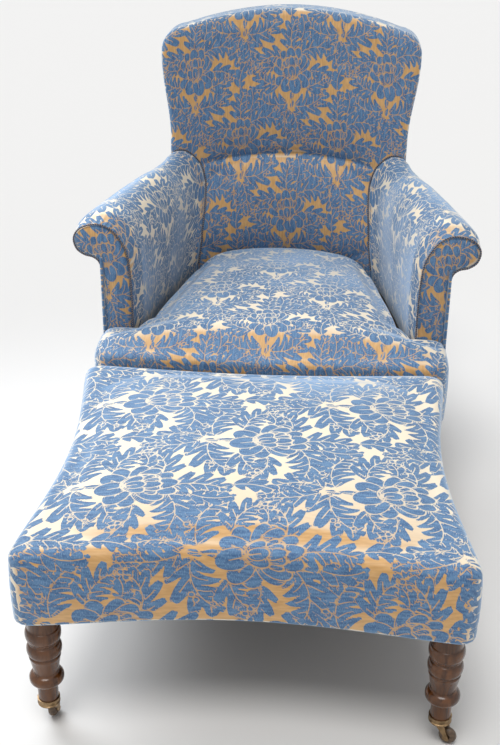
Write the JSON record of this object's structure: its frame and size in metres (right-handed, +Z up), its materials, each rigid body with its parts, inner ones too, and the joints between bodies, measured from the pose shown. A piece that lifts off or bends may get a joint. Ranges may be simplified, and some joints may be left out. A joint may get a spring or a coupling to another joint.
{
  "type": "tub armchair and footstool",
  "caption": "Padded tub armchair with rolled arms and a high curved back, with a matching padded footstool on turned legs and castors",
  "frame": {"origin": "on the floor, at the middle of the floor plan that the chair and its stool cover together", "axes": "+Z up, -Y the way the chair faces, +X to the left hand of a sitter"},
  "size_m": [0.89, 1.6102, 0.989],
  "materials": {
    "damask": "chenille damask, blue on gold",
    "piping": "woven cord",
    "lining": "black cotton",
    "webbing": "jute",
    "frame_wood": "plain",
    "turned_wood": "dark polish",
    "spring_steel": "plain",
    "brass": "aged",
    "castor_wheel": "dark"
  },
  "bodies": {
    "chair": {"front_rail": "frame_wood", "side_rail_left": "frame_wood", "side_rail_right": "frame_wood", "back_rail": "frame_wood", "back_post_left": "frame_wood", "back_post_right": "frame_wood", "crest_rail": "frame_wood", "arm_stump_left": "frame_wood", "arm_stump_right": "frame_wood", "arm_rail_left": "frame_wood", "arm_rail_right": "frame_wood", "front_leg_left": "turned_wood", "front_leg_right": "turned_wood", "seat_pad": "damask", "back_pad": "damask", "lumbar_pad": "damask", "inside_arm_left": "damask", "inside_arm_right": "damask", "outside_arm_left": "damask", "outside_arm_right": "damask", "outside_back": "damask", "arm_facing_left": "damask", "arm_facing_right": "damask", "front_piping_left": "piping", "front_piping_right": "piping", "rear_piping_left": "piping", "rear_piping_right": "piping", "seat_webbing": "webbing", "seat_springs": "spring_steel", "chair_dust_cover": "lining", "chair_castor_left_cup": "brass", "chair_castor_right_cup": "brass"},
    "stool": {"stool_front_rail": "frame_wood", "stool_rear_rail": "frame_wood", "stool_left_rail": "frame_wood", "stool_right_rail": "frame_wood", "stool_leg_front_left": "turned_wood", "stool_leg_front_right": "turned_wood", "stool_leg_rear_left": "turned_wood", "stool_leg_rear_right": "turned_wood", "stool_pad": "damask", "stool_webbing": "webbing", "stool_springs": "spring_steel", "stool_dust_cover": "lining", "stool_castor_front_left_cup": "brass", "stool_castor_front_right_cup": "brass", "stool_castor_rear_left_cup": "brass", "stool_castor_rear_right_cup": "brass"},
    "chair_castor_left_swivel": {"chair_castor_left_fork": "brass"},
    "chair_castor_left_wheel": {"chair_castor_left_wheel": "castor_wheel"},
    "chair_castor_right_swivel": {"chair_castor_right_fork": "brass"},
    "chair_castor_right_wheel": {"chair_castor_right_wheel": "castor_wheel"},
    "stool_castor_front_left_swivel": {"stool_castor_front_left_fork": "brass"},
    "stool_castor_front_left_wheel": {"stool_castor_front_left_wheel": "castor_wheel"},
    "stool_castor_front_right_swivel": {"stool_castor_front_right_fork": "brass"},
    "stool_castor_front_right_wheel": {"stool_castor_front_right_wheel": "castor_wheel"},
    "stool_castor_rear_left_swivel": {"stool_castor_rear_left_fork": "brass"},
    "stool_castor_rear_left_wheel": {"stool_castor_rear_left_wheel": "castor_wheel"},
    "stool_castor_rear_right_swivel": {"stool_castor_rear_right_fork": "brass"},
    "stool_castor_rear_right_wheel": {"stool_castor_rear_right_wheel": "castor_wheel"}
  },
  "joints": [
    {"name": "stool_pull", "type": "slide", "parent": "chair", "child": "stool", "axis": [0, -1, 0], "range_m": [0, 0.6]},
    {"name": "chair_castor_left_swivels", "type": "hinge", "parent": "chair", "child": "chair_castor_left_swivel", "pos_m": [-0.338, -0.01171, 0.045], "axis": [0, 0, 1], "continuous": true},
    {"name": "chair_castor_left_rolls", "type": "hinge", "parent": "chair_castor_left_swivel", "child": "chair_castor_left_wheel", "pos_m": [-0.34078, -0.02747, 0.0155], "axis": [-0.9848, 0.1736, 0], "continuous": true},
    {"name": "chair_castor_right_swivels", "type": "hinge", "parent": "chair", "child": "chair_castor_right_swivel", "pos_m": [0.338, -0.01171, 0.045], "axis": [0, 0, 1], "continuous": true},
    {"name": "chair_castor_right_rolls", "type": "hinge", "parent": "chair_castor_right_swivel", "child": "chair_castor_right_wheel", "pos_m": [0.33, -0.02557, 0.0155], "axis": [-0.866, 0.5, 0], "continuous": true},
    {"name": "stool_castor_front_left_swivels", "type": "hinge", "parent": "stool", "child": "stool_castor_front_left_swivel", "pos_m": [-0.32607, -0.75838, 0.045], "axis": [0, 0, 1], "continuous": true},
    {"name": "stool_castor_front_left_rolls", "type": "hinge", "parent": "stool_castor_front_left_swivel", "child": "stool_castor_front_left_wheel", "pos_m": [-0.32316, -0.74265, 0.0155], "axis": [0.9833, -0.1822, 0], "continuous": true},
    {"name": "stool_castor_front_right_swivels", "type": "hinge", "parent": "stool", "child": "stool_castor_front_right_swivel", "pos_m": [0.3447, -0.74082, 0.045], "axis": [0, 0, 1], "continuous": true},
    {"name": "stool_castor_front_right_rolls", "type": "hinge", "parent": "stool_castor_front_right_swivel", "child": "stool_castor_front_right_wheel", "pos_m": [0.35948, -0.74694, 0.0155], "axis": [-0.3827, -0.9239, 0], "continuous": true},
    {"name": "stool_castor_rear_left_swivels", "type": "hinge", "parent": "stool", "child": "stool_castor_rear_left_swivel", "pos_m": [-0.3427, -0.1236, 0.045], "axis": [0, 0, 1], "continuous": true},
    {"name": "stool_castor_rear_left_rolls", "type": "hinge", "parent": "stool_castor_rear_left_swivel", "child": "stool_castor_rear_left_wheel", "pos_m": [-0.34856, -0.10872, 0.0155], "axis": [0.9304, 0.3665, 0], "continuous": true},
    {"name": "stool_castor_rear_right_swivels", "type": "hinge", "parent": "stool", "child": "stool_castor_rear_right_swivel", "pos_m": [0.32807, -0.10604, 0.045], "axis": [0, 0, 1], "continuous": true},
    {"name": "stool_castor_rear_right_rolls", "type": "hinge", "parent": "stool_castor_rear_right_swivel", "child": "stool_castor_rear_right_wheel", "pos_m": [0.33445, -0.09137, 0.0155], "axis": [0.9171, -0.3987, 0], "continuous": true}
  ]
}
